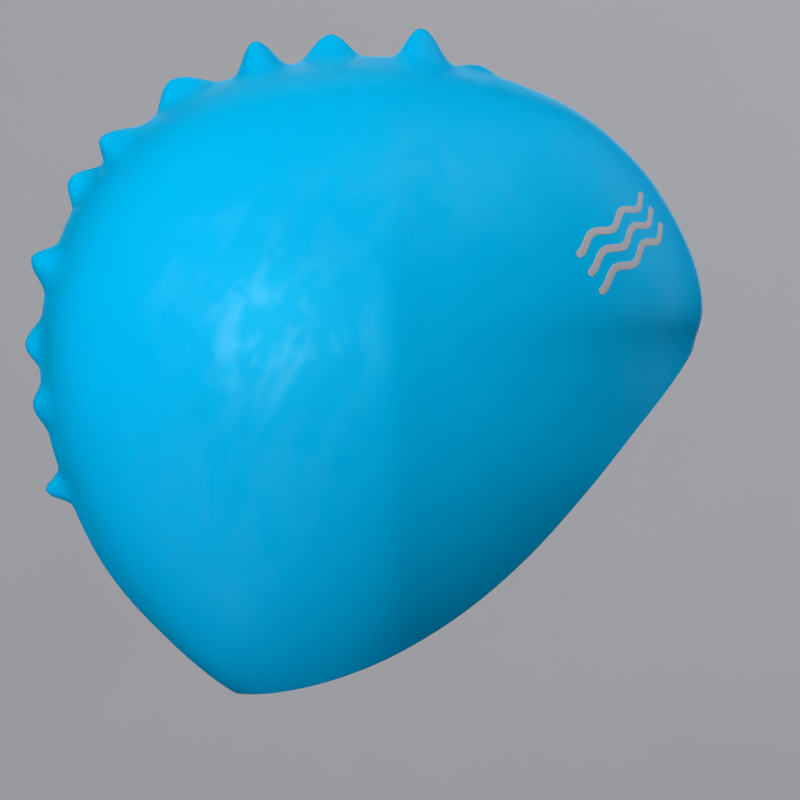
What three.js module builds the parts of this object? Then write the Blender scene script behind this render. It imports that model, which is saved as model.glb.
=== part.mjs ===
// A silicone swim cap in the form it has when worn: one moulded shell, open at the bottom, whose
// crown seam stands up in a row of soft puckers, and three wave lines printed at the forehead.
// Lengths are millimetres and angles are degrees.
// X points the way the wearer faces, Y to the wearer's left and Z up. The origin is the point inside
// the crown where the head bears on the shell.
import * as THREE from "three";

// The form under the shell is measured against an ellipsoid of this length, width and height.
const FORM_LENGTH = 206;
const FORM_WIDTH = 154;
const FORM_HEIGHT = 199;
// How much fuller than the ellipsoid the sides are beside the crest, as a share of the width.
const SIDE_FULLNESS = 0.07;
// A soft upright ridge on each side: its height, how far forward of the form's centre it runs as a share
// of half the length, how wide its top is rounded, and how far its slopes spread.
const SIDE_RIDGE_HEIGHT = 1.6;
const SIDE_RIDGE_FORWARD_SHARE = 0.136;
const SIDE_RIDGE_ROUNDING = 4;
const SIDE_RIDGE_SPREAD = 20;

// The shell: its wall, and the rounding of its rim in steps from the outer to the inner side.
const WALL = 1.2;
const LIP_STEPS = 3;

// Where the crest meets the rim at the forehead and at the nape, and where the head bears on it.
const FRONT_ANGLE = -0.4;
const NAPE_ANGLE = 252;
const SEAT_ANGLE = 83.1;

// The part of the rim, from either end, that the shell's end columns follow.
const FRONT_SHARE = 0.2;
const NAPE_SHARE = 0.2;

// The crest stands up in a low ridge that fades out towards the forehead and the nape.
const RIDGE_HEIGHT = 2.5;
const RIDGE_SPREAD = 14;
const RIDGE_FRONT_ANGLE = 35;
const RIDGE_BACK_ANGLE = 250;
const RIDGE_FADE_ANGLE = 30;

// The puckers on the ridge. Each one leans to one side of the crest and bends the crest that way.
const FOLD_HEIGHT = 9.4;
const FOLD_RUN = 10;
const FOLD_OFFSET = 3.5;
const FOLD_SPREAD = 11;
const FOLD_FAR_SPREAD = 7;
const FOLD_SWAY = 2.5;
const SWAY_SPREAD = 16;
const LEFT = 1;
const RIGHT = -1;

// The print: three parallel wave lines on the right side of the forehead.
const PRINT_FORWARD_SHARE = 0.812;
const PRINT_UP_SHARE = 0.315;
const PRINT_TILT_ANGLE = 40;
const PRINT_LENGTH = 42;
const PRINT_SPACING = 6;
const PRINT_STROKE = 2.3;
const PRINT_THICKNESS = 0.4;
const PRINT_GAP = 0.3;
const WAVE_LENGTH = 16;
const WAVE_HEIGHT = 1.3;

// Columns from the forehead to the nape, and rows from the crest down to the rim on each side.
// Columns lie closer at the tips of the puckers, and rows near the crest.
const FRONT_COLUMNS = 8;
const FOLD_COLUMNS = 8;
const NAPE_COLUMNS = 10;
const TIP_CROWDING = 0.45;
const SIDE_ROWS = 12;
const ROW_EVENNESS = 0.25;
const ROW_POWER = 1.7;
const PRINT_STEPS = 32;

// The crest seen from the side: direction from the form's centre, and how far out it lies as a share
// of the ellipsoid. The rows after the nape shape the sides below the ears, down to the rim.
const OUTLINE = [
  { angle: 0, share: 1.042 },
  { angle: 5, share: 1.071 },
  { angle: 10, share: 1.077 },
  { angle: 16, share: 1.07 },
  { angle: 24, share: 1.056 },
  { angle: 34, share: 1.037 },
  { angle: 46, share: 0.998 },
  { angle: 58, share: 0.942 },
  { angle: 70, share: 0.904 },
  { angle: 84, share: 0.884 },
  { angle: 98, share: 0.871 },
  { angle: 112, share: 0.883 },
  { angle: 126, share: 0.9 },
  { angle: 140, share: 0.911 },
  { angle: 154, share: 0.915 },
  { angle: 168, share: 0.913 },
  { angle: 182, share: 0.915 },
  { angle: 196, share: 0.928 },
  { angle: 210, share: 0.951 },
  { angle: 224, share: 0.997 },
  { angle: 238, share: 1.06 },
  { angle: 245, share: 1.102 },
  { angle: 252, share: 1.142 },
  { angle: 270, share: 1.17 },
  { angle: 290, share: 1.08 },
  { angle: 310, share: 1.06 },
  { angle: 328, share: 1.09 },
  { angle: 346, share: 1.04 },
];

// The rim between the forehead and the nape, as shares of half the length forward of the form's
// centre and half the height above it.
const RIM = [
  { forward: 0.955, up: -0.117 },
  { forward: 0.827, up: -0.272 },
  { forward: 0.686, up: -0.447 },
  { forward: 0.536, up: -0.623 },
  { forward: 0.343, up: -0.802 },
  { forward: 0.16, up: -0.924 },
  { forward: -0.042, up: -1.016 },
  { forward: -0.223, up: -1.067 },
];

// The puckers from the forehead to the nape: direction of the tip, its height as a share of
// FOLD_HEIGHT, the lengths of its slopes as shares of FOLD_RUN, and the side it leans to.
const FOLDS = [
  { angle: 65.3, height: 0.3, front: 0.9, back: 1.0, side: LEFT },
  { angle: 77.1, height: 1.02, front: 1.25, back: 0.78, side: RIGHT },
  { angle: 93.2, height: 0.93, front: 1.05, back: 1.3, side: LEFT },
  { angle: 107.4, height: 0.94, front: 0.92, back: 0.92, side: RIGHT },
  { angle: 123.8, height: 0.86, front: 1.6, back: 1.1, side: LEFT },
  { angle: 139.8, height: 0.61, front: 1.4, back: 0.55, side: RIGHT },
  { angle: 148.8, height: 0.74, front: 1.15, back: 0.92, side: LEFT },
  { angle: 164.3, height: 0.66, front: 0.75, back: 1.05, side: RIGHT },
  { angle: 180, height: 0.6, front: 1.1, back: 0.95, side: LEFT },
  { angle: 191.5, height: 0.31, front: 0.8, back: 1.0, side: RIGHT },
  { angle: 206.8, height: 0.76, front: 0.55, back: 0.85, side: LEFT },
];

const HALF_PI = Math.PI / 2;
const HALF_LENGTH = FORM_LENGTH / 2;
const HALF_WIDTH = FORM_WIDTH / 2;
const HALF_HEIGHT = FORM_HEIGHT / 2;

const radians = THREE.MathUtils.degToRad;
const degrees = THREE.MathUtils.radToDeg;

// A smooth curve through [x, y] rows: a cubic from each row to the next, whose slope at a row is the
// mean of the slopes on its two sides, the nearer side weighing more.
function curveThrough(rows, period = 0) {
  const sorted = [...rows].sort((a, b) => a[0] - b[0]);
  const points = period
    ? [
        ...sorted.slice(-2).map(([x, y]) => [x - period, y]),
        ...sorted,
        ...sorted.slice(0, 2).map(([x, y]) => [x + period, y]),
      ]
    : sorted;
  const last = points.length - 1;
  const secant = (i) => (points[i + 1][1] - points[i][1]) / (points[i + 1][0] - points[i][0]);
  const slopes = points.map(([x], i) => {
    if (i === 0) return secant(0);
    if (i === last) return secant(last - 1);
    const before = x - points[i - 1][0];
    const after = points[i + 1][0] - x;
    return (before * secant(i) + after * secant(i - 1)) / (before + after);
  });
  return (value) => {
    const at = period ? THREE.MathUtils.euclideanModulo(value, period) : value;
    let i = 0;
    while (i < last - 1 && at >= points[i + 1][0]) i += 1;
    const [x0, y0] = points[i];
    const [x1, y1] = points[i + 1];
    const run = x1 - x0;
    const u = (at - x0) / run;
    return (
      y0 * (1 + 2 * u) * (1 - u) ** 2 +
      y1 * u * u * (3 - 2 * u) +
      run * (slopes[i] * u * (1 - u) ** 2 + slopes[i + 1] * u * u * (u - 1))
    );
  };
}

const outline = curveThrough(
  OUTLINE.map((row) => [row.angle, row.share]),
  360,
);

// The crest at an angle, about the form's centre.
function crestPoint(angle) {
  const share = outline(angle);
  return new THREE.Vector3(
    HALF_LENGTH * share * Math.cos(radians(angle)),
    0,
    HALF_HEIGHT * share * Math.sin(radians(angle)),
  );
}

// The direction straight out of the crest at an angle, seen from the side.
function crestNormal(angle) {
  const along = crestPoint(angle + 0.5).sub(crestPoint(angle - 0.5));
  return new THREE.Vector3(along.z, 0, -along.x).normalize();
}

// The chart lays one side of the form flat as a disc: its centre lies over the ear, its edge is the
// crest, and directions from the centre are those seen from the side.
function formPoint(chart, side) {
  const turn = Math.min(chart.length(), 1) * HALF_PI;
  const angle = Math.atan2(chart.y, chart.x);
  const reach = Math.sin(turn);
  const share = reach * (1 + (outline(degrees(angle)) - 1) * reach);
  const forward = HALF_LENGTH * share * Math.cos(angle);
  const away = Math.hypot(forward - HALF_LENGTH * SIDE_RIDGE_FORWARD_SHARE, SIDE_RIDGE_ROUNDING);
  const ridge = SIDE_RIDGE_HEIGHT * Math.exp(-away / SIDE_RIDGE_SPREAD);
  const out = HALF_WIDTH * (1 + SIDE_FULLNESS * reach * reach) + ridge;
  return new THREE.Vector3(
    forward,
    side * Math.cos(turn) * out,
    HALF_HEIGHT * share * Math.sin(angle),
  );
}

// The chart position of a point seen from the side at these shares of half the length and height.
function chartAt(forward, up) {
  const angle = Math.atan2(up, forward);
  const share = Math.hypot(forward, up);
  const extra = outline(degrees(angle)) - 1;
  const reach = (2 * share) / (1 + Math.sqrt(1 + 4 * extra * share));
  const radius = Math.asin(Math.min(reach, 1)) / HALF_PI;
  return new THREE.Vector2(radius * Math.cos(angle), radius * Math.sin(angle));
}

// The rim on either side, from the forehead at 0 to the nape at 1, in the chart.
const rimEnds = [FRONT_ANGLE, NAPE_ANGLE].map((angle) => {
  const end = crestPoint(angle);
  return [end.x / HALF_LENGTH, end.z / HALF_HEIGHT];
});
const rimHeight = curveThrough([...rimEnds, ...RIM.map((row) => [row.forward, row.up])]);

function rimAt(share) {
  const eased = (1 - Math.cos(Math.PI * share)) / 2;
  const forward = THREE.MathUtils.lerp(rimEnds[0][0], rimEnds[1][0], eased);
  return chartAt(forward, rimHeight(forward));
}

// The crest in the chart, from the forehead at 0 to the nape at 1.
function crestAt(share) {
  const angle = radians(THREE.MathUtils.lerp(FRONT_ANGLE, NAPE_ANGLE, share));
  return new THREE.Vector2(Math.cos(angle), Math.sin(angle));
}

// The chart between the crest (down 0) and the rim (down 1), from the forehead (along 0) to the nape
// (along 1): the blend of its four edges. The first and the last column run along the rim too.
function chartBetween(along, down) {
  const hem = (share) => rimAt(FRONT_SHARE + (1 - FRONT_SHARE - NAPE_SHARE) * share);
  const blend = new THREE.Vector2();
  const add = (point, weight) => blend.addScaledVector(point, weight);
  add(crestAt(along), 1 - down);
  add(hem(along), down);
  add(rimAt(FRONT_SHARE * down), 1 - along);
  add(rimAt(1 - NAPE_SHARE * down), along);
  add(crestAt(0), -(1 - along) * (1 - down));
  add(hem(0), -(1 - along) * down);
  add(crestAt(1), -along * (1 - down));
  add(hem(1), -along * down);
  return blend;
}

function bump(distance, spread) {
  return Math.exp(-((distance / spread) ** 2));
}

// How far the ridge and the puckers stand out of the form at a crest angle and a distance from the
// middle plane, and how far the puckers bend it sideways there.
function foldsAt(angle, y) {
  const rise = THREE.MathUtils.clamp((angle - RIDGE_FRONT_ANGLE) / RIDGE_FADE_ANGLE, 0, 1);
  const fall = THREE.MathUtils.clamp((RIDGE_BACK_ANGLE - angle) / RIDGE_FADE_ANGLE, 0, 1);
  let out = RIDGE_HEIGHT * THREE.MathUtils.smoothstep(rise * fall, 0, 1) * bump(y, RIDGE_SPREAD);
  let sideways = 0;
  for (const fold of FOLDS) {
    const along = radians(angle - fold.angle) * HALF_LENGTH * outline(fold.angle);
    const run = FOLD_RUN * (along < 0 ? fold.front : fold.back);
    if (Math.abs(along) >= run) continue;
    const bell = Math.cos((HALF_PI * along) / run) ** 2;
    const across = fold.side * y - FOLD_OFFSET;
    out += FOLD_HEIGHT * fold.height * bell * bump(across, across > 0 ? FOLD_SPREAD : FOLD_FAR_SPREAD);
    sideways += fold.side * FOLD_SWAY * bell * bump(y, SWAY_SPREAD);
  }
  return { out, sideways };
}

// The form with its ridge and puckers, about the form's centre.
function foldedPoint(chart, side) {
  const point = formPoint(chart, side);
  const direct = degrees(Math.atan2(chart.y, chart.x));
  const angle = direct < -90 ? direct + 360 : direct;
  const folds = foldsAt(angle, point.y);
  point.addScaledVector(crestNormal(angle), folds.out);
  point.y += folds.sideways;
  return point;
}

// The point inside the crown that the whole cap is placed by.
function seatPoint() {
  const crest = new THREE.Vector2(Math.cos(radians(SEAT_ANGLE)), Math.sin(radians(SEAT_ANGLE)));
  const seat = foldedPoint(crest, LEFT).addScaledVector(crestNormal(SEAT_ANGLE), -WALL);
  return seat.setY(0);
}

const seat = seatPoint();

// The outer side of the shell.
function outerPoint(chart, side) {
  return foldedPoint(chart, side).sub(seat);
}

// Shares of the way from the forehead to the nape, with a column on the tip of each pucker.
function columnShares() {
  const marks = [FRONT_ANGLE, ...FOLDS.map((fold) => fold.angle), NAPE_ANGLE];
  const shares = [0];
  for (let i = 1; i < marks.length; i += 1) {
    const first = i === 1;
    const final = i === marks.length - 1;
    const count = first ? FRONT_COLUMNS : final ? NAPE_COLUMNS : FOLD_COLUMNS;
    const crowding = first || final ? 0 : TIP_CROWDING;
    for (let k = 1; k <= count; k += 1) {
      const crowded = (1 - Math.cos((Math.PI * k) / count)) / 2;
      const share = THREE.MathUtils.lerp(k / count, crowded, crowding);
      const angle = THREE.MathUtils.lerp(marks[i - 1], marks[i], share);
      shares.push((angle - FRONT_ANGLE) / (NAPE_ANGLE - FRONT_ANGLE));
    }
  }
  return shares;
}

// Shares of the way from the crest to the rim.
function rowShares() {
  return Array.from({ length: SIDE_ROWS + 1 }, (_, i) => {
    const even = i / SIDE_ROWS;
    return ROW_EVENNESS * even + (1 - ROW_EVENNESS) * even ** ROW_POWER;
  });
}

// The outer side as columns of points, each from the rim on the right over the crest to the left.
function outerColumns() {
  const rows = rowShares();
  return columnShares().map((along) => {
    const right = rows.map((down) => outerPoint(chartBetween(along, down), RIGHT));
    const left = rows.map((down) => outerPoint(chartBetween(along, down), LEFT));
    return [...right.reverse(), ...left.slice(1)];
  });
}

// The two triangles of each cell of a grid, facing out, split along the shorter diagonal.
function gridTriangles(columns) {
  const height = columns[0].length;
  const triangles = [];
  for (let i = 0; i + 1 < columns.length; i += 1) {
    for (let j = 0; j + 1 < height; j += 1) {
      const a = i * height + j;
      const b = a + 1;
      const c = a + height;
      const d = c + 1;
      const rising = columns[i][j].distanceTo(columns[i + 1][j + 1]);
      const falling = columns[i][j + 1].distanceTo(columns[i + 1][j]);
      if (rising < falling) triangles.push([a, b, d], [a, d, c]);
      else triangles.push([a, b, c], [b, d, c]);
    }
  }
  return triangles;
}

// The mean of the normals of the triangles round each point. It is shorter where they differ.
function meanNormals(points, triangles) {
  const sums = points.map(() => new THREE.Vector3());
  const counts = points.map(() => 0);
  const triangle = new THREE.Triangle();
  const normal = new THREE.Vector3();
  for (const corners of triangles) {
    triangle.set(...corners.map((corner) => points[corner]));
    triangle.getNormal(normal);
    for (const corner of corners) {
      sums[corner].add(normal);
      counts[corner] += 1;
    }
  }
  return sums.map((sum, i) => sum.divideScalar(counts[i]));
}

// The indices of the grid's edge in order: down the first column, along the ends of the columns, back
// up the last column and along their beginnings.
function edgeLoop(columnCount, height) {
  const loop = [];
  for (let j = 0; j < height; j += 1) loop.push(j);
  for (let i = 1; i < columnCount; i += 1) loop.push(i * height + height - 1);
  for (let j = height - 2; j >= 0; j -= 1) loop.push((columnCount - 1) * height + j);
  for (let i = columnCount - 2; i > 0; i -= 1) loop.push(i * height);
  return loop;
}

// The rounded rim between the outer and the inner edge: one loop of points per step.
function lipLoops(loop, outer, inner) {
  const loops = Array.from({ length: LIP_STEPS - 1 }, () => []);
  loop.forEach((index, k) => {
    const before = outer[loop[(k + loop.length - 1) % loop.length]];
    const after = outer[loop[(k + 1) % loop.length]];
    const middle = outer[index].clone().add(inner[index]).multiplyScalar(0.5);
    const half = outer[index].clone().sub(middle);
    const tangent = after.clone().sub(before);
    const down = half.clone().cross(tangent).normalize().multiplyScalar(half.length());
    loops.forEach((points, step) => {
      const turn = (Math.PI * (step + 1)) / LIP_STEPS;
      const point = middle.clone().addScaledVector(half, Math.cos(turn));
      points.push(point.addScaledVector(down, Math.sin(turn)));
    });
  });
  return loops;
}

function geometryOf(points, triangles) {
  const positions = points.flatMap((point) => [point.x, point.y, point.z]);
  const geometry = new THREE.BufferGeometry();
  geometry.setAttribute("position", new THREE.Float32BufferAttribute(positions, 3));
  geometry.setIndex(triangles.flat());
  geometry.computeVertexNormals();
  return geometry;
}

// The shell: the outer side, the inner side one wall further in, and the rounded rim between them.
function shellGeometry() {
  const columns = outerColumns();
  const outer = columns.flat();
  const faces = gridTriangles(columns);
  const normals = meanNormals(outer, faces);
  const inner = outer.map((point, i) =>
    point.clone().addScaledVector(normals[i], -WALL / normals[i].lengthSq()),
  );
  const loop = edgeLoop(columns.length, columns[0].length);
  const lips = lipLoops(loop, outer, inner);

  const points = [...outer, ...inner, ...lips.flat()];
  const count = outer.length;
  const triangles = [...faces, ...faces.map(([a, b, c]) => [a + count, c + count, b + count])];
  const bands = [
    loop,
    ...lips.map((_, step) => loop.map((_index, k) => 2 * count + step * loop.length + k)),
    loop.map((index) => index + count),
  ];
  for (let step = 0; step + 1 < bands.length; step += 1) {
    const upper = bands[step];
    const lower = bands[step + 1];
    loop.forEach((_, k) => {
      const next = (k + 1) % loop.length;
      triangles.push([upper[k], lower[k], upper[next]], [upper[next], lower[k], lower[next]]);
    });
  }
  return geometryOf(points, triangles);
}

// Maps lengths along and across the print to the chart round the print's centre.
function printChart() {
  const centre = chartAt(PRINT_FORWARD_SHARE, PRINT_UP_SHARE);
  const step = 0.01;
  const slope = (x, y) => {
    const ahead = outerPoint(centre.clone().add(new THREE.Vector2(x, y)), RIGHT);
    const behind = outerPoint(centre.clone().sub(new THREE.Vector2(x, y)), RIGHT);
    return ahead.sub(behind).divideScalar(2 * step);
  };
  const first = slope(step, 0);
  const second = slope(0, step);
  const normal = first.clone().cross(second).normalize();
  const tilt = radians(PRINT_TILT_ANGLE);
  const along = new THREE.Vector3(Math.cos(tilt), 0, Math.sin(tilt));
  along.y = -(normal.x * along.x + normal.z * along.z) / normal.y;
  along.normalize();
  const across = along.clone().cross(normal).normalize();
  if (across.z < 0) across.negate();
  const metric = new THREE.Matrix2(
    first.dot(first),
    first.dot(second),
    second.dot(first),
    second.dot(second),
  ).elements;
  const determinant = metric[0] * metric[3] - metric[1] * metric[2];
  const chartStep = (direction) => {
    const u = first.dot(direction);
    const v = second.dot(direction);
    return new THREE.Vector2(
      (metric[3] * u - metric[1] * v) / determinant,
      (metric[0] * v - metric[2] * u) / determinant,
    );
  };
  const alongStep = chartStep(along);
  const acrossStep = chartStep(across);
  return (u, v) => centre.clone().addScaledVector(alongStep, u).addScaledVector(acrossStep, v);
}

const printAt = printChart();

// A point this far out of the shell's right side, at lengths along and across the print.
function printPoint(u, v, height) {
  const step = 0.5;
  const point = outerPoint(printAt(u, v), RIGHT);
  const along = outerPoint(printAt(u + step, v), RIGHT).sub(point);
  const across = outerPoint(printAt(u, v + step), RIGHT).sub(point);
  const normal = along.cross(across).normalize();
  if (normal.y > 0) normal.negate();
  return point.addScaledVector(normal, height);
}

// One wave line with rounded ends, as a closed strip above the shell.
function waveGeometry(offset) {
  const points = [];
  const triangles = [];
  const half = PRINT_LENGTH / 2;
  const radius = PRINT_STROKE / 2;
  const ends = [0.08, 0.4, 1];
  const near = ends.map((share) => -half + radius * share);
  const between = Array.from(
    { length: PRINT_STEPS - 1 },
    (_, i) => -half + radius + ((2 * (half - radius)) * (i + 1)) / PRINT_STEPS,
  );
  const stations = [...near, ...between, ...near.map((u) => -u).reverse()];
  stations.forEach((u, i) => {
    const phase = (2 * Math.PI * u) / WAVE_LENGTH;
    const slope = ((WAVE_HEIGHT * 2 * Math.PI) / WAVE_LENGTH) * Math.cos(phase);
    const inEnd = Math.max(0, (Math.abs(u) - (half - radius)) / radius);
    const width = radius * Math.sqrt(1 - inEnd * inEnd);
    const scale = width / Math.hypot(1, slope);
    const v = offset + WAVE_HEIGHT * Math.sin(phase);
    const upper = [u - slope * scale, v + scale];
    const lower = [u + slope * scale, v - scale];
    points.push(
      printPoint(...lower, PRINT_GAP),
      printPoint(...upper, PRINT_GAP),
      printPoint(...upper, PRINT_GAP + PRINT_THICKNESS),
      printPoint(...lower, PRINT_GAP + PRINT_THICKNESS),
    );
    if (i === 0) return;
    for (let k = 0; k < 4; k += 1) {
      const a = 4 * (i - 1) + k;
      const b = 4 * (i - 1) + ((k + 1) % 4);
      triangles.push([a, b, a + 4], [b, b + 4, a + 4]);
    }
  });
  const last = points.length - 4;
  triangles.push([0, 2, 1], [0, 3, 2], [last, last + 1, last + 2], [last, last + 2, last + 3]);
  return geometryOf(points, triangles);
}

const silicone = new THREE.MeshStandardMaterial({ color: 0x00a8e4, roughness: 0.38, metalness: 0 });
const ink = new THREE.MeshStandardMaterial({ color: 0x9f9ca0, roughness: 0.55, metalness: 0 });

function mesh(name, geometry, material) {
  const made = new THREE.Mesh(geometry, material.clone());
  made.name = name;
  return made;
}

const cap = new THREE.Group();
cap.name = "swim_cap";
cap.add(mesh("cap_shell", shellGeometry(), silicone));
[1, 0, -1].forEach((line, i) => {
  cap.add(mesh(`wave_print_${i + 1}`, waveGeometry(line * PRINT_SPACING), ink));
});

export default cap;
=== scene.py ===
"""The looks of a silicone swim cap, in the form it has when worn.

Lengths are metres and angles are degrees. X points the way the wearer faces, Y to the wearer's left and
Z up, and the origin is the point inside the crown where the head bears on the shell.
"""

import logging
from collections.abc import Mapping, Sequence
from dataclasses import dataclass
from enum import Enum

import bpy
import numpy as np
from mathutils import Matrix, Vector


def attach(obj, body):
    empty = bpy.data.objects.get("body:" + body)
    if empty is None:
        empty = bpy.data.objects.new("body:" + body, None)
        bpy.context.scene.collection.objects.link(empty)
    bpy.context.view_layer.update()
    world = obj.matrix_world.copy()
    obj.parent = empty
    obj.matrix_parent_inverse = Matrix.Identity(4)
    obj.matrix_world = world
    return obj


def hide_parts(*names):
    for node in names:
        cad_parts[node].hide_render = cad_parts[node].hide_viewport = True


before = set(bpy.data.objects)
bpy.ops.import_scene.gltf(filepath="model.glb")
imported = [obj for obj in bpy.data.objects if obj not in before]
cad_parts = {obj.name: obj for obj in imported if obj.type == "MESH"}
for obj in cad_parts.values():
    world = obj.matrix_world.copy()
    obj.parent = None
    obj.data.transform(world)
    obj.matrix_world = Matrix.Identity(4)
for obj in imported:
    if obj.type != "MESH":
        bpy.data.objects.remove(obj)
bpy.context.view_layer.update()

LOG = logging.getLogger("swim_cap")
MM = 0.001
Colour = tuple[float, float, float]


class Side(Enum):
    """The side of the middle plane, as the sign of Y there."""

    LEFT = 1
    RIGHT = -1


class SmoothCurve:
    """A smooth curve through rows: a cubic from each row to the next.

    The slope at a row is the mean of the slopes on its two sides, the nearer side weighing more.
    """

    def __init__(self, rows: Sequence[tuple[float, float]], period: float = 0.0) -> None:
        """Sorts the rows and works out their slopes.

        Args:
            rows: The curve's points as pairs of x and y.
            period: The length after which x repeats, or 0 where it doesn't.
        """
        ordered = np.array(sorted(rows), float)
        if period:
            before = ordered[-2:] - [period, 0.0]
            after = ordered[:2] + [period, 0.0]
            ordered = np.concatenate([before, ordered, after])
        self.period = period
        self.x, self.y = ordered.T
        run = np.diff(self.x)
        secant = np.diff(self.y) / run
        inner = (run[:-1] * secant[1:] + run[1:] * secant[:-1]) / (run[:-1] + run[1:])
        self.slope = np.concatenate([secant[:1], inner, secant[-1:]])

    def __call__(self, value: np.ndarray) -> np.ndarray:
        """The curve at each value: the cubic with the rows' heights and slopes at its two ends.

        Args:
            value: Any array of x.

        Returns:
            The array of y.
        """
        at = np.mod(value, self.period) if self.period else np.asarray(value, float)
        i = np.clip(np.searchsorted(self.x, at, side="right") - 1, 0, len(self.x) - 2)
        run = self.x[i + 1] - self.x[i]
        u = (at - self.x[i]) / run
        start = self.y[i] * (1 + 2 * u) * (1 - u) ** 2 + self.y[i + 1] * u * u * (3 - 2 * u)
        return start + run * u * (1 - u) * (self.slope[i] * (1 - u) - self.slope[i + 1] * u)


@dataclass(frozen=True)
class OutlineRow:
    """The crest seen from the side: its direction and how far out it lies, as a share of the form."""

    angle: float
    share: float


@dataclass(frozen=True)
class RimRow:
    """A point of the rim, as shares of half the form's length and half its height."""

    forward: float
    up: float


@dataclass(frozen=True)
class FoldRow:
    """A pucker: the direction of its tip, its height and slopes as shares, and the side it leans to."""

    angle: float
    height: float
    front: float
    back: float
    side: Side


OUTLINE = (
    OutlineRow(0, 1.042),
    OutlineRow(5, 1.071),
    OutlineRow(10, 1.077),
    OutlineRow(16, 1.07),
    OutlineRow(24, 1.056),
    OutlineRow(34, 1.037),
    OutlineRow(46, 0.998),
    OutlineRow(58, 0.942),
    OutlineRow(70, 0.904),
    OutlineRow(84, 0.884),
    OutlineRow(98, 0.871),
    OutlineRow(112, 0.883),
    OutlineRow(126, 0.9),
    OutlineRow(140, 0.911),
    OutlineRow(154, 0.915),
    OutlineRow(168, 0.913),
    OutlineRow(182, 0.915),
    OutlineRow(196, 0.928),
    OutlineRow(210, 0.951),
    OutlineRow(224, 0.997),
    OutlineRow(238, 1.06),
    OutlineRow(245, 1.102),
    OutlineRow(252, 1.142),
    OutlineRow(270, 1.17),
    OutlineRow(290, 1.08),
    OutlineRow(310, 1.06),
    OutlineRow(328, 1.09),
    OutlineRow(346, 1.04),
)

RIM = (
    RimRow(0.955, -0.117),
    RimRow(0.827, -0.272),
    RimRow(0.686, -0.447),
    RimRow(0.536, -0.623),
    RimRow(0.343, -0.802),
    RimRow(0.16, -0.924),
    RimRow(-0.042, -1.016),
    RimRow(-0.223, -1.067),
)

FOLDS = (
    FoldRow(65.3, 0.3, 0.9, 1.0, Side.LEFT),
    FoldRow(77.1, 1.02, 1.25, 0.78, Side.RIGHT),
    FoldRow(93.2, 0.93, 1.05, 1.3, Side.LEFT),
    FoldRow(107.4, 0.94, 0.92, 0.92, Side.RIGHT),
    FoldRow(123.8, 0.86, 1.6, 1.1, Side.LEFT),
    FoldRow(139.8, 0.61, 1.4, 0.55, Side.RIGHT),
    FoldRow(148.8, 0.74, 1.15, 0.92, Side.LEFT),
    FoldRow(164.3, 0.66, 0.75, 1.05, Side.RIGHT),
    FoldRow(180, 0.6, 1.1, 0.95, Side.LEFT),
    FoldRow(191.5, 0.31, 0.8, 1.0, Side.RIGHT),
    FoldRow(206.8, 0.76, 0.55, 0.85, Side.LEFT),
)


def bump(distance: np.ndarray, spread: float) -> np.ndarray:
    """A bell of height one: e to the minus square of distance over spread."""
    return np.exp(-((distance / spread) ** 2))


def smooth_step(value: np.ndarray) -> np.ndarray:
    """Rises from 0 to 1 as value does: 3 v squared minus 2 v cubed, of v held between 0 and 1."""
    held = np.clip(value, 0.0, 1.0)
    return held * held * (3 - 2 * held)


def unit(vectors: np.ndarray) -> np.ndarray:
    """Each vector over its own length."""
    return vectors / np.linalg.norm(vectors, axis=-1, keepdims=True)


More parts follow.
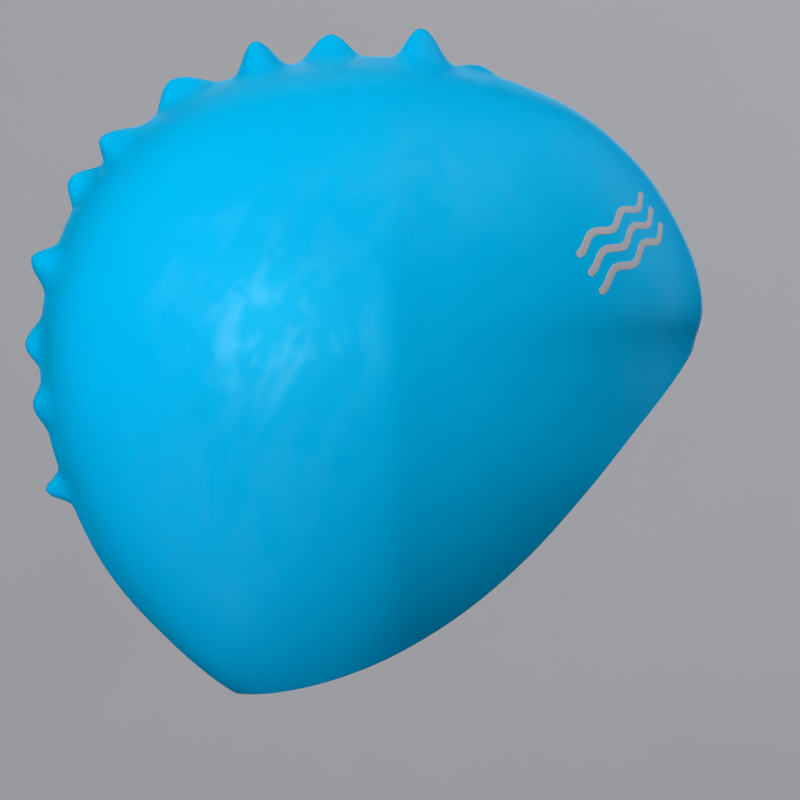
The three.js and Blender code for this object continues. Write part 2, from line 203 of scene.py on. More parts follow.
@dataclass
class CapForm:
    """The outer side of the cap, as a function of a chart of each side.

    The chart lays one side of the form flat as a disc: its centre lies over the ear, its edge is the
    crest, and directions from the centre are those seen from the side.
    """

    length: float = 206 * MM
    width: float = 154 * MM
    height: float = 199 * MM
    side_fullness: float = 0.07
    side_ridge_height: float = 1.6 * MM
    side_ridge_forward: float = 0.136
    side_ridge_rounding: float = 2 * MM
    side_ridge_spread: float = 14 * MM
    wall: float = 1.2 * MM
    front_angle: float = -0.4
    nape_angle: float = 252.0
    seat_angle: float = 83.1
    crest_step: float = 0.5
    front_share: float = 0.2
    nape_share: float = 0.2
    ridge_height: float = 2.5 * MM
    ridge_spread: float = 14 * MM
    ridge_front_angle: float = 35.0
    ridge_back_angle: float = 250.0
    ridge_fade: float = 30.0
    fold_height: float = 9.4 * MM
    fold_run: float = 10 * MM
    fold_offset: float = 3.5 * MM
    fold_spread: float = 11 * MM
    fold_far_spread: float = 7 * MM
    fold_sway: float = 2.5 * MM
    sway_spread: float = 16 * MM

    def __post_init__(self) -> None:
        """Works out the curves through the tables and the seat that the cap is placed by."""
        self.outline = SmoothCurve([(row.angle, row.share) for row in OUTLINE], 360.0)
        ends = [self.crest(np.array(angle)) for angle in (self.front_angle, self.nape_angle)]
        shares = [(end[0] / (self.length / 2), end[2] / (self.height / 2)) for end in ends]
        self.rim_start, self.rim_end = shares[0][0], shares[1][0]
        self.rim_height = SmoothCurve(shares + [(row.forward, row.up) for row in RIM])
        self.seat = np.zeros(3)
        angle = np.array(self.seat_angle)
        self.seat = self.folded(self.direction(angle), Side.LEFT) - self.wall * self.crest_normal(angle)
        self.seat[1] = 0.0

    @staticmethod
    def direction(angle: np.ndarray) -> np.ndarray:
        """The chart's edge in a direction: its cosine and sine."""
        turn = np.radians(angle)
        return np.stack([np.cos(turn), np.sin(turn)], -1)

    def crest(self, angle: np.ndarray) -> np.ndarray:
        """The crest about the form's centre: half the length and height, times the outline's share.

        Args:
            angle: Directions from the centre, seen from the side.

        Returns:
            The points, in the middle plane.
        """
        share = self.outline(angle)
        turn = np.radians(angle)
        x = self.length / 2 * share * np.cos(turn)
        z = self.height / 2 * share * np.sin(turn)
        return np.stack([x, np.zeros_like(x), z], -1)

    def crest_normal(self, angle: np.ndarray) -> np.ndarray:
        """The direction straight out of the crest, seen from the side: its run turned by a right angle."""
        along = self.crest(angle + self.crest_step) - self.crest(angle - self.crest_step)
        return unit(np.stack([along[..., 2], np.zeros_like(along[..., 0]), -along[..., 0]], -1))

    def form(self, chart: np.ndarray, side: Side) -> np.ndarray:
        """The form without its folds, about its centre.

        With turn as the chart radius times a right angle and reach as its sine, a point lies at
        reach times (1 + (outline - 1) reach) of the half length and height in its direction, and at
        the turn's cosine times (1 + fullness reach squared) of the half width. The side ridge adds its
        height times the turn's cosine, and falls off in front and behind as e to the minus distance
        over spread, the distance being rounded off on the ridge itself.

        Args:
            chart: Chart positions.
            side: The side of the middle plane.

        Returns:
            The points.
        """
        turn = np.minimum(np.linalg.norm(chart, axis=-1), 1.0) * np.pi / 2
        angle = np.arctan2(chart[..., 1], chart[..., 0])
        reach = np.sin(turn)
        share = reach * (1 + (self.outline(np.degrees(angle)) - 1) * reach)
        x = self.length / 2 * share * np.cos(angle)
        z = self.height / 2 * share * np.sin(angle)
        away = np.hypot(x - self.side_ridge_forward * self.length / 2, self.side_ridge_rounding)
        ridge = self.side_ridge_height * np.exp(-away / self.side_ridge_spread)
        y = self.width / 2 * (1 + self.side_fullness * reach * reach) + ridge
        return np.stack([x, side.value * np.cos(turn) * y, z], -1)

    def chart_at(self, forward: np.ndarray, up: np.ndarray) -> np.ndarray:
        """The chart position of points seen from the side: form's law solved for the reach.

        Args:
            forward: Shares of half the length.
            up: Shares of half the height.

        Returns:
            The chart positions.
        """
        angle = np.arctan2(up, forward)
        share = np.hypot(forward, up)
        extra = self.outline(np.degrees(angle)) - 1
        reach = 2 * share / (1 + np.sqrt(1 + 4 * extra * share))
        radius = np.arcsin(np.minimum(reach, 1.0)) / (np.pi / 2)
        return np.stack([radius * np.cos(angle), radius * np.sin(angle)], -1)

    def rim(self, share: np.ndarray) -> np.ndarray:
        """The rim in the chart, eased by a cosine so that its points lie closer at both ends.

        Args:
            share: 0 at the forehead and 1 at the nape.

        Returns:
            The chart positions.
        """
        eased = (1 - np.cos(np.pi * share)) / 2
        forward = self.rim_start + (self.rim_end - self.rim_start) * eased
        return self.chart_at(forward, self.rim_height(forward))

    def between(self, along: np.ndarray, down: np.ndarray) -> np.ndarray:
        """The chart between crest and rim: the blend of its four edges, less that of its corners.

        Args:
            along: 0 at the forehead and 1 at the nape.
            down: 0 at the crest and 1 at the rim.

        Returns:
            The chart positions.
        """
        middle = 1 - self.front_share - self.nape_share

        def hem(share: np.ndarray) -> np.ndarray:
            """The rim between the two end columns."""
            return self.rim(self.front_share + middle * share)

        def crest(share: np.ndarray) -> np.ndarray:
            """The chart's edge from the forehead to the nape."""
            return self.direction(self.front_angle + (self.nape_angle - self.front_angle) * share)

        a, d = along[..., None], down[..., None]
        zero, one = np.zeros_like(along), np.ones_like(along)
        edges = (1 - d) * crest(along) + d * hem(along)
        ends = (1 - a) * self.rim(self.front_share * down) + a * self.rim(1 - self.nape_share * down)
        front = (1 - a) * ((1 - d) * crest(zero) + d * hem(zero))
        back = a * ((1 - d) * crest(one) + d * hem(one))
        return edges + ends - front - back

    def folds(self, angle: np.ndarray, y: np.ndarray) -> tuple[np.ndarray, np.ndarray]:
        """How far the ridge and the puckers stand out, and how far they bend the crest sideways.

        The ridge is a bell across the crest that fades in and out along it. A pucker is a squared cosine
        along the crest times a bell across it, with a run of its own in front of its tip and behind it
        and a spread of its own on each side.

        Args:
            angle: Directions about the form's centre.
            y: Distances from the middle plane.

        Returns:
            The heights and the sideways shifts.
        """
        rise = np.clip((angle - self.ridge_front_angle) / self.ridge_fade, 0, 1)
        fall = np.clip((self.ridge_back_angle - angle) / self.ridge_fade, 0, 1)
        out = self.ridge_height * smooth_step(rise * fall) * bump(y, self.ridge_spread)
        sideways = np.zeros_like(out)
        for fold in FOLDS:
            radius = self.length / 2 * self.outline(np.array(fold.angle))
            along = np.radians(angle - fold.angle) * radius
            run = self.fold_run * np.where(along < 0, fold.front, fold.back)
            bell = np.cos(np.pi / 2 * np.clip(along / run, -1, 1)) ** 2
            across = fold.side.value * y - self.fold_offset
            spread = np.where(across > 0, self.fold_spread, self.fold_far_spread)
            out += self.fold_height * fold.height * bell * bump(across, spread)
            sideways += fold.side.value * self.fold_sway * bell * bump(y, self.sway_spread)
        return out, sideways

    def folded(self, chart: np.ndarray, side: Side) -> np.ndarray:
        """The outer side: the form moved out by its folds, about the seat.

        Args:
            chart: Chart positions.
            side: The side of the middle plane.

        Returns:
            The points.
        """
        points = self.form(chart, side)
        direct = np.degrees(np.arctan2(chart[..., 1], chart[..., 0]))
        angle = np.where(direct < -90, direct + 360, direct)
        out, sideways = self.folds(angle, points[..., 1])
        points = points + self.crest_normal(angle) * out[..., None]
        points[..., 1] += sideways
        return points - self.seat


def mesh_object(name: str, points: np.ndarray, faces: Sequence[Sequence[int]]) -> bpy.types.Object:
    """A smooth mesh object at the origin.

    Args:
        name: The object's and the mesh's name.
        points: The vertices.
        faces: The corners of each face.

    Returns:
        The new object, linked to the scene.
    """
    mesh = bpy.data.meshes.new(name)
    mesh.from_pydata(points.reshape(-1, 3).tolist(), [], faces)
    mesh.validate()
    mesh.shade_smooth()
    made = bpy.data.objects.new(name, mesh)
    bpy.context.scene.collection.objects.link(made)
    return made


def grid_quads(columns: int, rows: int, closed_rows: bool = False) -> np.ndarray:
    """The corners of each cell of a grid whose points run down one column after the other.

    Args:
        columns: The number of columns.
        rows: The points in a column.
        closed_rows: Whether each column closes on itself.

    Returns:
        One row of four indices per cell, in the order here, next in column, across, next column.
    """
    i, j = np.meshgrid(np.arange(columns - 1), np.arange(rows if closed_rows else rows - 1), indexing="ij")
    after = (j + 1) % rows
    corners = [i * rows + j, i * rows + after, (i + 1) * rows + after, (i + 1) * rows + j]
    return np.stack(corners, -1).reshape(-1, 4)


def vertex_normals(points: np.ndarray, quads: np.ndarray) -> np.ndarray:
    """The unit normals of a mesh of quads: the sum of each face's diagonals' cross product.

    Args:
        points: The vertices, in rows.
        quads: The corners of each face.

    Returns:
        One normal per vertex.
    """
    p = points[quads]
    crosses = np.cross(p[:, 2] - p[:, 0], p[:, 3] - p[:, 1])
    corners = quads.ravel()
    parts = [np.bincount(corners, np.repeat(part, 4), len(points)) for part in crosses.T]
    return unit(np.stack(parts, -1))


def evened(field: np.ndarray, passes: int) -> np.ndarray:
    """A grid of vectors evened out between neighbours: a quarter of each, half of itself, per pass.

    Args:
        field: An array of columns, rows and components.
        passes: How many times it is done along both directions.

    Returns:
        The evened field, at unit length.
    """
    for _ in range(passes):
        for axis in (0, 1):
            ends = [(1, 1) if k == axis else (0, 0) for k in range(3)]
            wide = np.pad(field, ends, mode="edge")
            count = field.shape[axis]
            before = np.take(wide, range(count), axis)
            after = np.take(wide, range(2, count + 2), axis)
            field = (before + 2 * field + after) / 4
    return unit(field)


class Signal:
    """A socket of numbers that Python's operators turn into Math nodes."""

    def __init__(self, shader: "Shader", socket: bpy.types.NodeSocket) -> None:
        """Keeps the socket and the shader that it belongs to."""
        self.shader = shader
        self.socket = socket

    def _with(self, operation: str, *values: "Signal | float") -> "Signal":
        """A Math node of an operation on values, as a new signal."""
        node = self.shader.node("ShaderNodeMath", {"operation": operation}, dict(enumerate(values)))
        return Signal(self.shader, node.outputs[0])

    def __add__(self, other: "Signal | float") -> "Signal":
        """The sum."""
        return self._with("ADD", self, other)

    def __radd__(self, other: float) -> "Signal":
        """The sum, from the right."""
        return self._with("ADD", other, self)

    def __sub__(self, other: "Signal | float") -> "Signal":
        """The difference."""
        return self._with("SUBTRACT", self, other)

    def __rsub__(self, other: float) -> "Signal":
        """The difference, from the right."""
        return self._with("SUBTRACT", other, self)

    def __mul__(self, other: "Signal | float") -> "Signal":
        """The product."""
        return self._with("MULTIPLY", self, other)

    def __rmul__(self, other: float) -> "Signal":
        """The product, from the right."""
        return self._with("MULTIPLY", other, self)

    def held(self, low: float, high: float) -> "Signal":
        """The signal held between two values."""
        return self._with("MINIMUM", self._with("MAXIMUM", self, low), high)


class Shader:
    """A material with one Principled shader, and the nodes that feed it."""

    def __init__(self, name: str) -> None:
        """Makes the material and leaves only its output and its Principled shader.

        Args:
            name: The material's name.
        """
        self.material = bpy.data.materials.new(name)
        self.material.use_nodes = True
        self.tree = self.material.node_tree
        self.tree.nodes.clear()
        self.principled = self.node("ShaderNodeBsdfPrincipled", {}, {})
        output = self.node("ShaderNodeOutputMaterial", {}, {})
        self.tree.links.new(self.principled.outputs["BSDF"], output.inputs["Surface"])

    def node(
        self, kind: str, settings: Mapping[str, object], inputs: Mapping[object, object]
    ) -> bpy.types.Node:
        """Adds a node.

        Args:
            kind: The node's type.
            settings: Its own properties, set first.
            inputs: Values, signals or sockets by input name or index.

        Returns:
            The node.
        """
        node = self.tree.nodes.new(kind)
        for key, value in settings.items():
            setattr(node, key, value)
        for key, value in inputs.items():
            self._feed(node.inputs[key], value)
        return node

    def _feed(self, target: bpy.types.NodeSocket, value: object) -> None:
        """Links a signal or a socket to an input, or else sets the input's own value.

        Args:
            target: The input.
            value: What it takes.
        """
        source = value.socket if isinstance(value, Signal) else value
        if isinstance(source, bpy.types.NodeSocket):
            self.tree.links.new(source, target)
        else:
            target.default_value = source

    def place(self, stretch: float = 1.0, lean: float = 0.0) -> bpy.types.NodeSocket:
        """Object coordinates in axes that lean forward, drawn out along the leaning upright.

        Args:
            stretch: How many times longer a pattern gets along the leaning upright.
            lean: The angle that the upright leans forward by.

        Returns:
            The socket of coordinates.
        """
        source = self.node("ShaderNodeTexCoord", {}, {}).outputs["Object"]
        inputs = {"Vector": source, "Rotation": (0.0, np.radians(lean), 0.0), "Scale": (1.0, 1.0, stretch)}
        return self.node("ShaderNodeMapping", {"vector_type": "TEXTURE"}, inputs).outputs["Vector"]

    def noise(self, place: bpy.types.NodeSocket, scale: float, detail: float) -> Signal:
        """Soft noise from 0 to 1 at a place.

        Args:
            place: The coordinates.
            scale: How many cells lie to the metre.
            detail: How many finer layers are added.

        Returns:
            The noise.
        """
        inputs = {"Vector": place, "Scale": scale, "Detail": detail}
        return Signal(self, self.node("ShaderNodeTexNoise", {}, inputs).outputs["Fac"])

    def mix(self, share: Signal, first: Colour, second: Colour) -> bpy.types.NodeSocket:
        """A colour between two others, by a signal's share."""
        inputs = {0: share, 6: (*first, 1.0), 7: (*second, 1.0)}
        return self.node("ShaderNodeMix", {"data_type": "RGBA"}, inputs).outputs[2]

    def raised(
        self, height: Signal, distance: float, below: bpy.types.NodeSocket | None = None
    ) -> bpy.types.NodeSocket:
        """The normal of a relief whose height is the signal times a distance in metres.

        Args:
            height: The relief, from 0 to 1.
            distance: The height that 1 stands for.
            below: The normal of a coarser relief that this one lies on.

        Returns:
            The socket of the normal.
        """
        inputs: dict[object, object] = {"Height": height, "Distance": distance, "Strength": 1.0}
        if below is not None:
            inputs["Normal"] = below
        return self.node("ShaderNodeBump", {}, inputs).outputs["Normal"]

    def set(self, **values: object) -> None:
        """Sets or links the Principled shader's sockets, by name with underscores for spaces."""
        for key, value in values.items():
            self._feed(self.principled.inputs[key.replace("_", " ")], value)


@dataclass(frozen=True)
class SiliconeFinish:
    """Satin coloured silicone: soft lumps and leaning stretch streaks, with glossier patches between.

    The patches are a thin smooth coat that comes and goes: its share is the mean of the cloud and the
    streaks, raised in contrast about its middle, plus the cover, and held between 0 and 1.
    """

    deep: Colour = (0.0, 0.43, 0.78)
    pale: Colour = (0.0, 0.46, 0.82)
    roughness: float = 0.35
    roughness_spread: float = 0.2
    roughness_range: tuple[float, float] = (0.28, 0.5)
    ior: float = 1.41
    reflectance: float = 0.35
    reflection: Colour = (0.1, 0.85, 1.0)
    cloud_scale: float = 85.0
    lump_scale: float = 80.0
    lump_height: float = 0.1 * MM
    streak_scale: float = 150.0
    streak_height: float = 0.02 * MM
    streak_lean: float = 25.0
    streak_stretch: float = 2.6
    patch_contrast: float = 8.0
    patch_cover: float = 0.35
    patch_weight: float = 0.3
    patch_roughness: float = 0.23

    def material(self) -> bpy.types.Material:
        """Builds the silicone's shader.

        Returns:
            The material.
        """
        shader = Shader("satin silicone")
        place = shader.place()
        cloud = shader.noise(place, self.cloud_scale, detail=3.0)
        leaning = shader.place(self.streak_stretch, self.streak_lean)
        streaks = shader.noise(leaning, self.streak_scale, detail=3.0)
        lumps = shader.noise(place, self.lump_scale, detail=0.0)
        relief = shader.raised(lumps, self.lump_height)
        soft_streaks = shader.noise(leaning, self.streak_scale, detail=0.0)
        relief = shader.raised(soft_streaks, self.streak_height, relief)
        patches = (cloud * 0.5 + streaks * 0.5 - 0.5) * self.patch_contrast + self.patch_cover
        rough = self.roughness + (streaks - 0.5) * self.roughness_spread
        shader.set(
            Base_Color=shader.mix(cloud, self.deep, self.pale),
            Roughness=rough.held(*self.roughness_range),
            IOR=self.ior,
            Specular_IOR_Level=self.reflectance,
            Specular_Tint=(*self.reflection, 1.0),
            Coat_Weight=patches.held(0.0, 1.0) * self.patch_weight,
            Coat_Roughness=self.patch_roughness,
            Coat_IOR=self.ior,
            Normal=relief,
        )
        return shader.material


@dataclass(frozen=True)
class InkFinish:
    """Grey silicone ink, matt and a little uneven."""

    deep: Colour = (0.42, 0.4, 0.42)
    pale: Colour = (0.48, 0.46, 0.48)
    roughness: float = 0.55
    roughness_spread: float = 0.16
    mottle_scale: float = 700.0
    grain_scale: float = 1800.0
    grain_height: float = 0.03 * MM

    def material(self) -> bpy.types.Material:
        """Builds the ink's shader.

        Returns:
            The material.
        """
        shader = Shader("grey ink")
        place = shader.place()
        mottle = shader.noise(place, self.mottle_scale, detail=3.0)
        grain = shader.noise(place, self.grain_scale, detail=2.0)
        shader.set(
            Base_Color=shader.mix(mottle, self.deep, self.pale),
            Roughness=self.roughness + (mottle - 0.5) * self.roughness_spread,
            Normal=shader.raised(grain, self.grain_height),
        )
        return shader.material


@dataclass(frozen=True)
class PaperFinish:
    """The plain pale paper that the studio's floor and back are covered with."""

    colour: Colour = (0.59, 0.575, 0.585)
    darkest: float = 0.94
    mottle_scale: float = 9.0
    roughness: float = 0.9

    def material(self) -> bpy.types.Material:
        """Builds the paper's shader.

        Returns:
            The material.
        """
        shader = Shader("pale paper")
        mottle = shader.noise(shader.place(), self.mottle_scale, detail=3.0)
        darker = tuple(self.darkest * part for part in self.colour)
        shader.set(Base_Color=shader.mix(mottle, darker, self.colour), Roughness=self.roughness)
        return shader.material


@dataclass
class CapShell:
    """The moulded shell: its outer side, its inner side and the rounded rim between them."""

    form: CapForm
    columns: int = 300
    side_rows: int = 64
    row_evenness: float = 0.25
    row_power: float = 1.7
    edge_share: float = 0.002
    lip_steps: int = 6
    even_passes: int = 5
    least_slant: float = 0.65

    def outer(self) -> np.ndarray:
        """The outer side, as columns from the right rim over the crest to the left rim.

        Columns lie evenly and rows closer together towards the crest: a share of the even place plus
        the rest of it raised to a power. One more lies close to each edge, which keeps the edge crisp.

        Returns:
            An array of columns, rows and coordinates.
        """
        even = np.linspace(0, 1, self.side_rows + 1)
        down = self.row_evenness * even + (1 - self.row_evenness) * even**self.row_power
        down = np.insert(down, -1, 1 - self.edge_share)
        along = np.linspace(0, 1, self.columns + 1)
        along = np.insert(along, [1, -1], [self.edge_share, 1 - self.edge_share])
        chart = self.form.between(*np.meshgrid(along, down, indexing="ij"))
        right = self.form.folded(chart, Side.RIGHT)
        left = self.form.folded(chart, Side.LEFT)
        return np.concatenate([right[:, ::-1], left[:, 1:]], axis=1)

    @staticmethod
    def edge(columns: int, rows: int) -> np.ndarray:
        """The indices of the grid's edge, in order round it."""
        index = np.arange(columns * rows).reshape(columns, rows)
        return np.concatenate([index[0], index[1:, -1], index[-1, -2::-1], index[-2:0:-1, 0]])

    def build(self) -> bpy.types.Object:
        """Builds the shell's mesh.

        The inner side lies one wall further in, along normals that are evened out between neighbours
        so that it doesn't cross itself inside a tight pucker. Where those lean away from the true ones,
        the depth along them grows with the lean, to the wall over the least slant at most. The rim is
        half a circle between the two sides.

        Returns:
            The shell.
        """
        grid = self.outer()
        columns, rows = grid.shape[:2]
        outer = grid.reshape(-1, 3)
        quads = grid_quads(columns, rows)
        normals = vertex_normals(outer, quads)
        inward = evened(normals.reshape(grid.shape), self.even_passes).reshape(-1, 3)
        slant = np.clip((inward * normals).sum(-1, keepdims=True), self.least_slant, 1.0)
        depth = self.form.wall / slant
        inner = outer - inward * depth

        loop = self.edge(columns, rows)
        half = (outer[loop] - inner[loop]) / 2
        tangent = outer[np.roll(loop, -1)] - outer[np.roll(loop, 1)]
        down = unit(np.cross(half, tangent)) * np.linalg.norm(half, axis=-1, keepdims=True)
        turns = np.pi * np.arange(1, self.lip_steps) / self.lip_steps
        middle = inner[loop] + half
        lips = [middle + half * np.cos(turn) + down * np.sin(turn) for turn in turns]

        count, size = len(outer), len(loop)
        lip_bands = [2 * count + step * size + np.arange(size) for step in range(len(lips))]
        bands = [loop, *lip_bands, loop + count]
        strips = [
            np.stack([upper, lower, np.roll(lower, -1), np.roll(upper, -1)], -1)
            for upper, lower in zip(bands, bands[1:])
        ]
        faces = np.concatenate([quads, quads[:, ::-1] + count, *strips])
        return mesh_object("shell", np.concatenate([outer, inner, *lips]), faces.tolist())


@dataclass
class WavePrint:
    """The print at the right of the forehead: parallel wave lines that lie on the shell."""

    form: CapForm
    forward: float = 0.812
    up: float = 0.315
    tilt: float = 40.0
    lines: int = 3
    length: float = 42 * MM
    spacing: float = 6 * MM
    stroke: float = 2.3 * MM
    thickness: float = 0.11 * MM
    rooting: float = 0.06 * MM
    wave_length: float = 16 * MM
    wave_height: float = 1.3 * MM
    stations: int = 180
    section: int = 20
    width_power: float = 0.6
    height_power: float = 0.7
    end_power: float = 0.5
    chart_step: float = 0.01
    normal_step: float = 0.3 * MM

    def __post_init__(self) -> None:
        """Works out the chart's steps for lengths along and across the print.

        The slopes of the surface in the chart are solved for the two directions in the surface that
        the print runs in: along the tilt seen from the side, and square to it.
        """
        step = self.chart_step
        self.centre = self.form.chart_at(np.array(self.forward), np.array(self.up))
        slopes = np.stack([
            (self.surface(self.centre + way) - self.surface(self.centre - way)) / (2 * step)
            for way in step * np.eye(2)
        ])
        normal = unit(np.cross(slopes[0], slopes[1]))
        tilt = np.radians(self.tilt)
        along = np.array([np.cos(tilt), 0.0, np.sin(tilt)])
        along[1] = -(normal @ along) / normal[1]
        along = unit(along)
        across = unit(np.cross(along, normal))
        across *= np.sign(across[2])
        self.steps = np.linalg.solve(slopes @ slopes.T, slopes @ np.stack([along, across]).T).T

    def surface(self, chart: np.ndarray) -> np.ndarray:
        """The shell's right side at chart positions."""
        return self.form.folded(chart, Side.RIGHT)

    def above(self, along: np.ndarray, across: np.ndarray, height: np.ndarray) -> np.ndarray:
        """Points at lengths along and across the print, and this far out of the shell.

        A point is the surface's, at the print's centre plus both lengths in chart steps, moved out
        along the surface's normal there.

        Args:
            along: Lengths along the print.
            across: Lengths across it.
            height: Heights over the shell.

        Returns:
            The points.
        """
        step = self.normal_step
        flat = np.stack([along, across], -1)
        here, ahead, over = (
            self.surface(self.centre + (flat + shift) @ self.steps)
            for shift in ((0.0, 0.0), (step, 0.0), (0.0, step))
        )
        normal = unit(np.cross(ahead - here, over - here))
        normal *= -np.sign(normal[..., 1:2])
        return here + normal * height[..., None]

    def line(self, name: str, offset: float) -> bpy.types.Object:
        """One wave line: a flattened section carried along a sine wave, with rounded ends.

        The section is a superellipse as wide as the stroke. Its width falls to nothing at the ends
        as a circle's does, and its height as that width's share to a power.

        Args:
            name: The new piece's name.
            offset: The line's distance from the print's middle line.

        Returns:
            The line.
        """
        half, radius = self.length / 2, self.stroke / 2
        turn = np.linspace(-np.pi / 2, np.pi / 2, self.stations)
        share = np.sin(turn)
        u = share * half
        phase = 2 * np.pi * u / self.wave_length
        slope = self.wave_height * 2 * np.pi / self.wave_length * np.cos(phase)
        centre = offset + self.wave_height * np.sin(phase)
        in_end = np.clip((np.abs(u) - (half - radius)) / radius, 0, 1)
        width = radius * np.sqrt(np.maximum(1 - in_end**2, 0.0))
        sideways = np.stack([-slope, np.ones_like(slope)], -1) / np.hypot(1, slope)[:, None]

        around = 2 * np.pi * np.arange(self.section) / self.section
        reach = np.sign(np.cos(around)) * np.abs(np.cos(around)) ** self.width_power
        lift = np.sign(np.sin(around)) * np.abs(np.sin(around)) ** self.height_power
        middle, swell = (self.thickness - self.rooting) / 2, (self.thickness + self.rooting) / 2
        ends = (width / radius)[:, None] ** self.end_power
        spread = (width[:, None] * reach)[..., None]
        places = np.stack([u, centre], -1)[:, None] + sideways[:, None] * spread
        points = self.above(places[..., 0], places[..., 1], middle + swell * lift * ends)

        inside = points[1:-1].reshape(-1, 3)
        tips = np.stack([points[0].mean(0), points[-1].mean(0)])
        count = self.section
        quads = grid_quads(self.stations - 2, count, closed_rows=True)[:, ::-1]
        ring = np.arange(count)
        last = len(inside) - count
        first_fan = np.stack([np.full(count, len(inside)), np.roll(ring, -1), ring], -1)
        last_fan = np.stack([np.full(count, len(inside) + 1), last + ring, last + np.roll(ring, -1)], -1)
        faces = [*quads.tolist(), *first_fan.tolist(), *last_fan.tolist()]
        return mesh_object(name, np.concatenate([inside, tips]), faces)

    def build(self) -> list[bpy.types.Object]:
        """Builds the lines, from the top one down.

        Returns:
            The lines.
        """
        top = (self.lines - 1) / 2
        return [self.line(f"wave_line_{i + 1}", (top - i) * self.spacing) for i in range(self.lines)]


# The lights' colours: plain, and cooler for the lights that fill the shaded side.
WHITE = (1.0, 1.0, 1.0)
COOL = (0.8, 0.88, 1.0)


class LightRole(Enum):
    """What a light is there for: to light the form softly, or to show as a reflection in its satin."""

    FILL = "fill"
    GLEAM = "gleam"


@dataclass(frozen=True)
class SoftLight:
    """A round soft light that points at the cap: where it is, its size and power, its role and tint.

    The azimuth is 0 on the camera's side of the cap and 90 on the side that the wearer faces.
    """

    name: str
    azimuth: float
    elevation: float
    distance: float
    size: float
    power: float
    role: LightRole = LightRole.FILL
    tint: Colour = WHITE


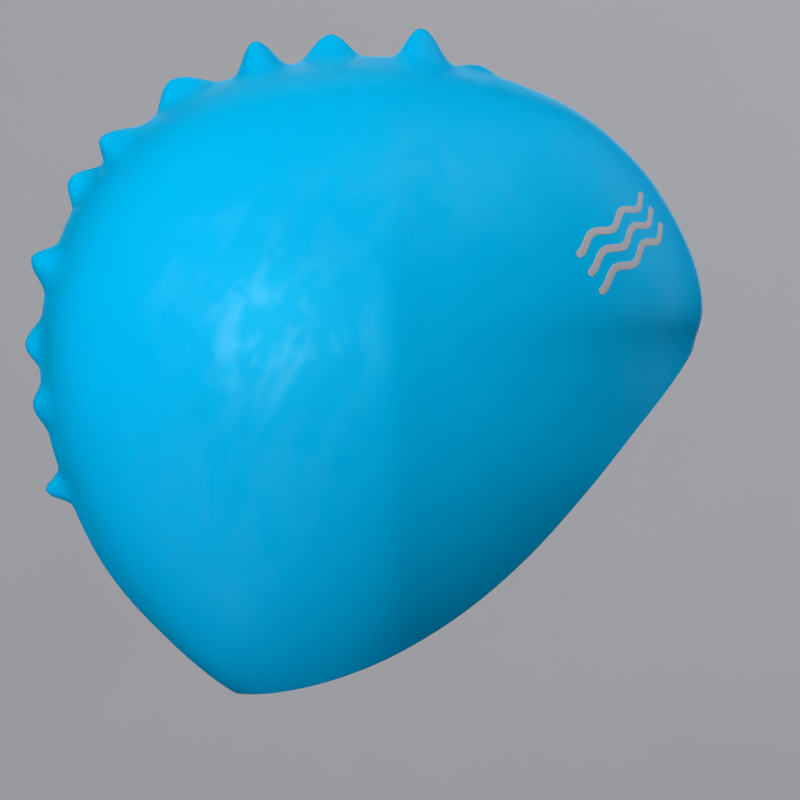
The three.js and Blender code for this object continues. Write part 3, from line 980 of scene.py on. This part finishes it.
@dataclass
class Studio:
    """A pale sweep of paper behind the cap, soft lights and the camera."""

    centre: Vector = Vector((-0.007, 0.0, -0.094))
    floor: float = -1.2
    back: float = 1.3
    bend: float = 0.5
    reach: float = 4.0
    sweep_steps: int = 24
    eye: Vector = Vector((0.0047, -0.9, -0.106))
    lens: float = 129.6
    sensor: float = 36.0
    farthest: float = 20.0
    lights: tuple[SoftLight, ...] = (
        SoftLight("left", -45.0, 20.0, 1.6, 1.2, 18.5),
        SoftLight("front", -15.0, 42.0, 1.6, 1.2, 4.8),
        SoftLight("over", 30.0, 50.0, 1.6, 1.2, 6.3),
        SoftLight("top", 60.0, 65.0, 1.6, 1.2, 4.6),
        SoftLight("right", 100.0, 10.0, 1.6, 1.2, 9.0, tint=COOL),
        SoftLight("behind", 120.0, 35.0, 1.6, 1.2, 6.0, tint=COOL),
        SoftLight("low", -30.0, -30.0, 1.6, 1.2, 6.5, tint=COOL),
        SoftLight("under", -70.0, -40.0, 1.6, 1.2, 5.0, tint=COOL),
        SoftLight("rear", 190.0, 38.0, 0.95, 0.5, 2.8),
        SoftLight("gleam", -21.0, 5.0, 1.6, 0.9, 14.0, LightRole.GLEAM),
        SoftLight("edge", 180.0, 5.0, 1.2, 1.0, 2.0, LightRole.GLEAM),
    )
    background: float = 0.33

    def sweep(self) -> bpy.types.Object:
        """The floor and the back in one sheet: a flat run, a quarter circle and an upright run.

        Returns:
            The sweep.
        """
        reach, count = self.reach, self.sweep_steps
        start, foot = self.back - self.bend, self.floor + self.bend
        flat = np.linspace(-reach, start, count)
        turn = np.linspace(0, np.pi / 2, count)[1:]
        rise = np.linspace(foot, reach, count)[1:]
        y = np.concatenate([flat, start + self.bend * np.sin(turn), np.full_like(rise, self.back)])
        z = np.concatenate([np.full_like(flat, self.floor), foot - self.bend * np.cos(turn), rise])
        x = np.linspace(-reach, reach, count)
        points = np.stack([np.repeat(x, len(y)), np.tile(y, len(x)), np.tile(z, len(x))], -1)
        return mesh_object("paper_sweep", points, grid_quads(len(x), len(y))[:, ::-1].tolist())

    def add_light(self, light: SoftLight) -> None:
        """Adds a soft light, on a line from the cap's middle at its azimuth and elevation.

        Args:
            light: Where it is and what it is like.
        """
        data = bpy.data.lights.new(light.name, "AREA")
        data.shape = "DISK"
        data.size = light.size
        data.energy = light.power
        data.color = light.tint
        turn, lift = np.radians([light.azimuth, light.elevation])
        way = Vector((np.sin(turn) * np.cos(lift), -np.cos(turn) * np.cos(lift), np.sin(lift)))
        made = bpy.data.objects.new(light.name, data)
        made.visible_diffuse = light.role is LightRole.FILL
        made.visible_glossy = light.role is LightRole.GLEAM
        made.visible_camera = False
        made.location = self.centre + light.distance * way
        made.rotation_euler = way.to_track_quat("Z", "Y").to_euler()
        bpy.context.scene.collection.objects.link(made)

    def add_camera(self) -> None:
        """Adds the camera, level and looking along +Y."""
        data = bpy.data.cameras.new("camera")
        data.lens = self.lens
        data.sensor_width = self.sensor
        data.clip_end = self.farthest
        made = bpy.data.objects.new("camera", data)
        made.location = self.eye
        made.rotation_euler = (np.pi / 2, 0.0, 0.0)
        bpy.context.scene.collection.objects.link(made)
        bpy.context.scene.camera = made

    def build(self) -> None:
        """Builds the sweep, the lights, the pale background past the sweep, and the camera.

        The paper and the background are seen but light nothing and show in no reflection, so that the
        form and the satin are shaped by the soft lights alone.
        """
        sweep = self.sweep()
        sweep.data.materials.append(PaperFinish().material())
        sweep.visible_diffuse = False
        sweep.visible_glossy = False
        for light in self.lights:
            self.add_light(light)
        world = bpy.data.worlds.new("studio")
        world.use_nodes = True
        backdrop = world.node_tree.nodes["Background"]
        backdrop.inputs["Color"].default_value = (*WHITE, 1.0)
        backdrop.inputs["Strength"].default_value = self.background
        world.cycles_visibility.diffuse = False
        world.cycles_visibility.glossy = False
        bpy.context.scene.world = world
        bpy.context.scene.view_settings.view_transform = "Standard"
        self.add_camera()


@dataclass
class SwimCap:
    """The whole cap: its shell and the print on it."""

    form: CapForm

    def build(self) -> None:
        """Builds the pieces, dresses them and puts each in the place of its solid."""
        shell = CapShell(self.form).build()
        self.dress(shell, SiliconeFinish().material(), "cap_shell", "silicone")
        ink = InkFinish().material()
        for i, line in enumerate(WavePrint(self.form).build()):
            self.dress(line, ink, f"wave_print_{i + 1}", "print_ink")

    @staticmethod
    def dress(piece: bpy.types.Object, material: bpy.types.Material, node: str, slot: str) -> None:
        """Gives a piece its material and lets it stand for a solid.

        Args:
            piece: The new piece.
            material: Its finish.
            node: The solid that it replaces.
            slot: The record's slot of its finish. It is not used.
        """
        piece.data.materials.append(material)
        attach(piece, "root")
        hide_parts(node)
        LOG.info("%s: %d faces, stands for %s", piece.name, len(piece.data.polygons), node)


def main() -> None:
    """Builds the cap and the studio."""
    logging.basicConfig(level=logging.INFO, format="%(name)s: %(message)s")
    SwimCap(CapForm()).build()
    Studio().build()


if __name__ == "__main__":
    main()
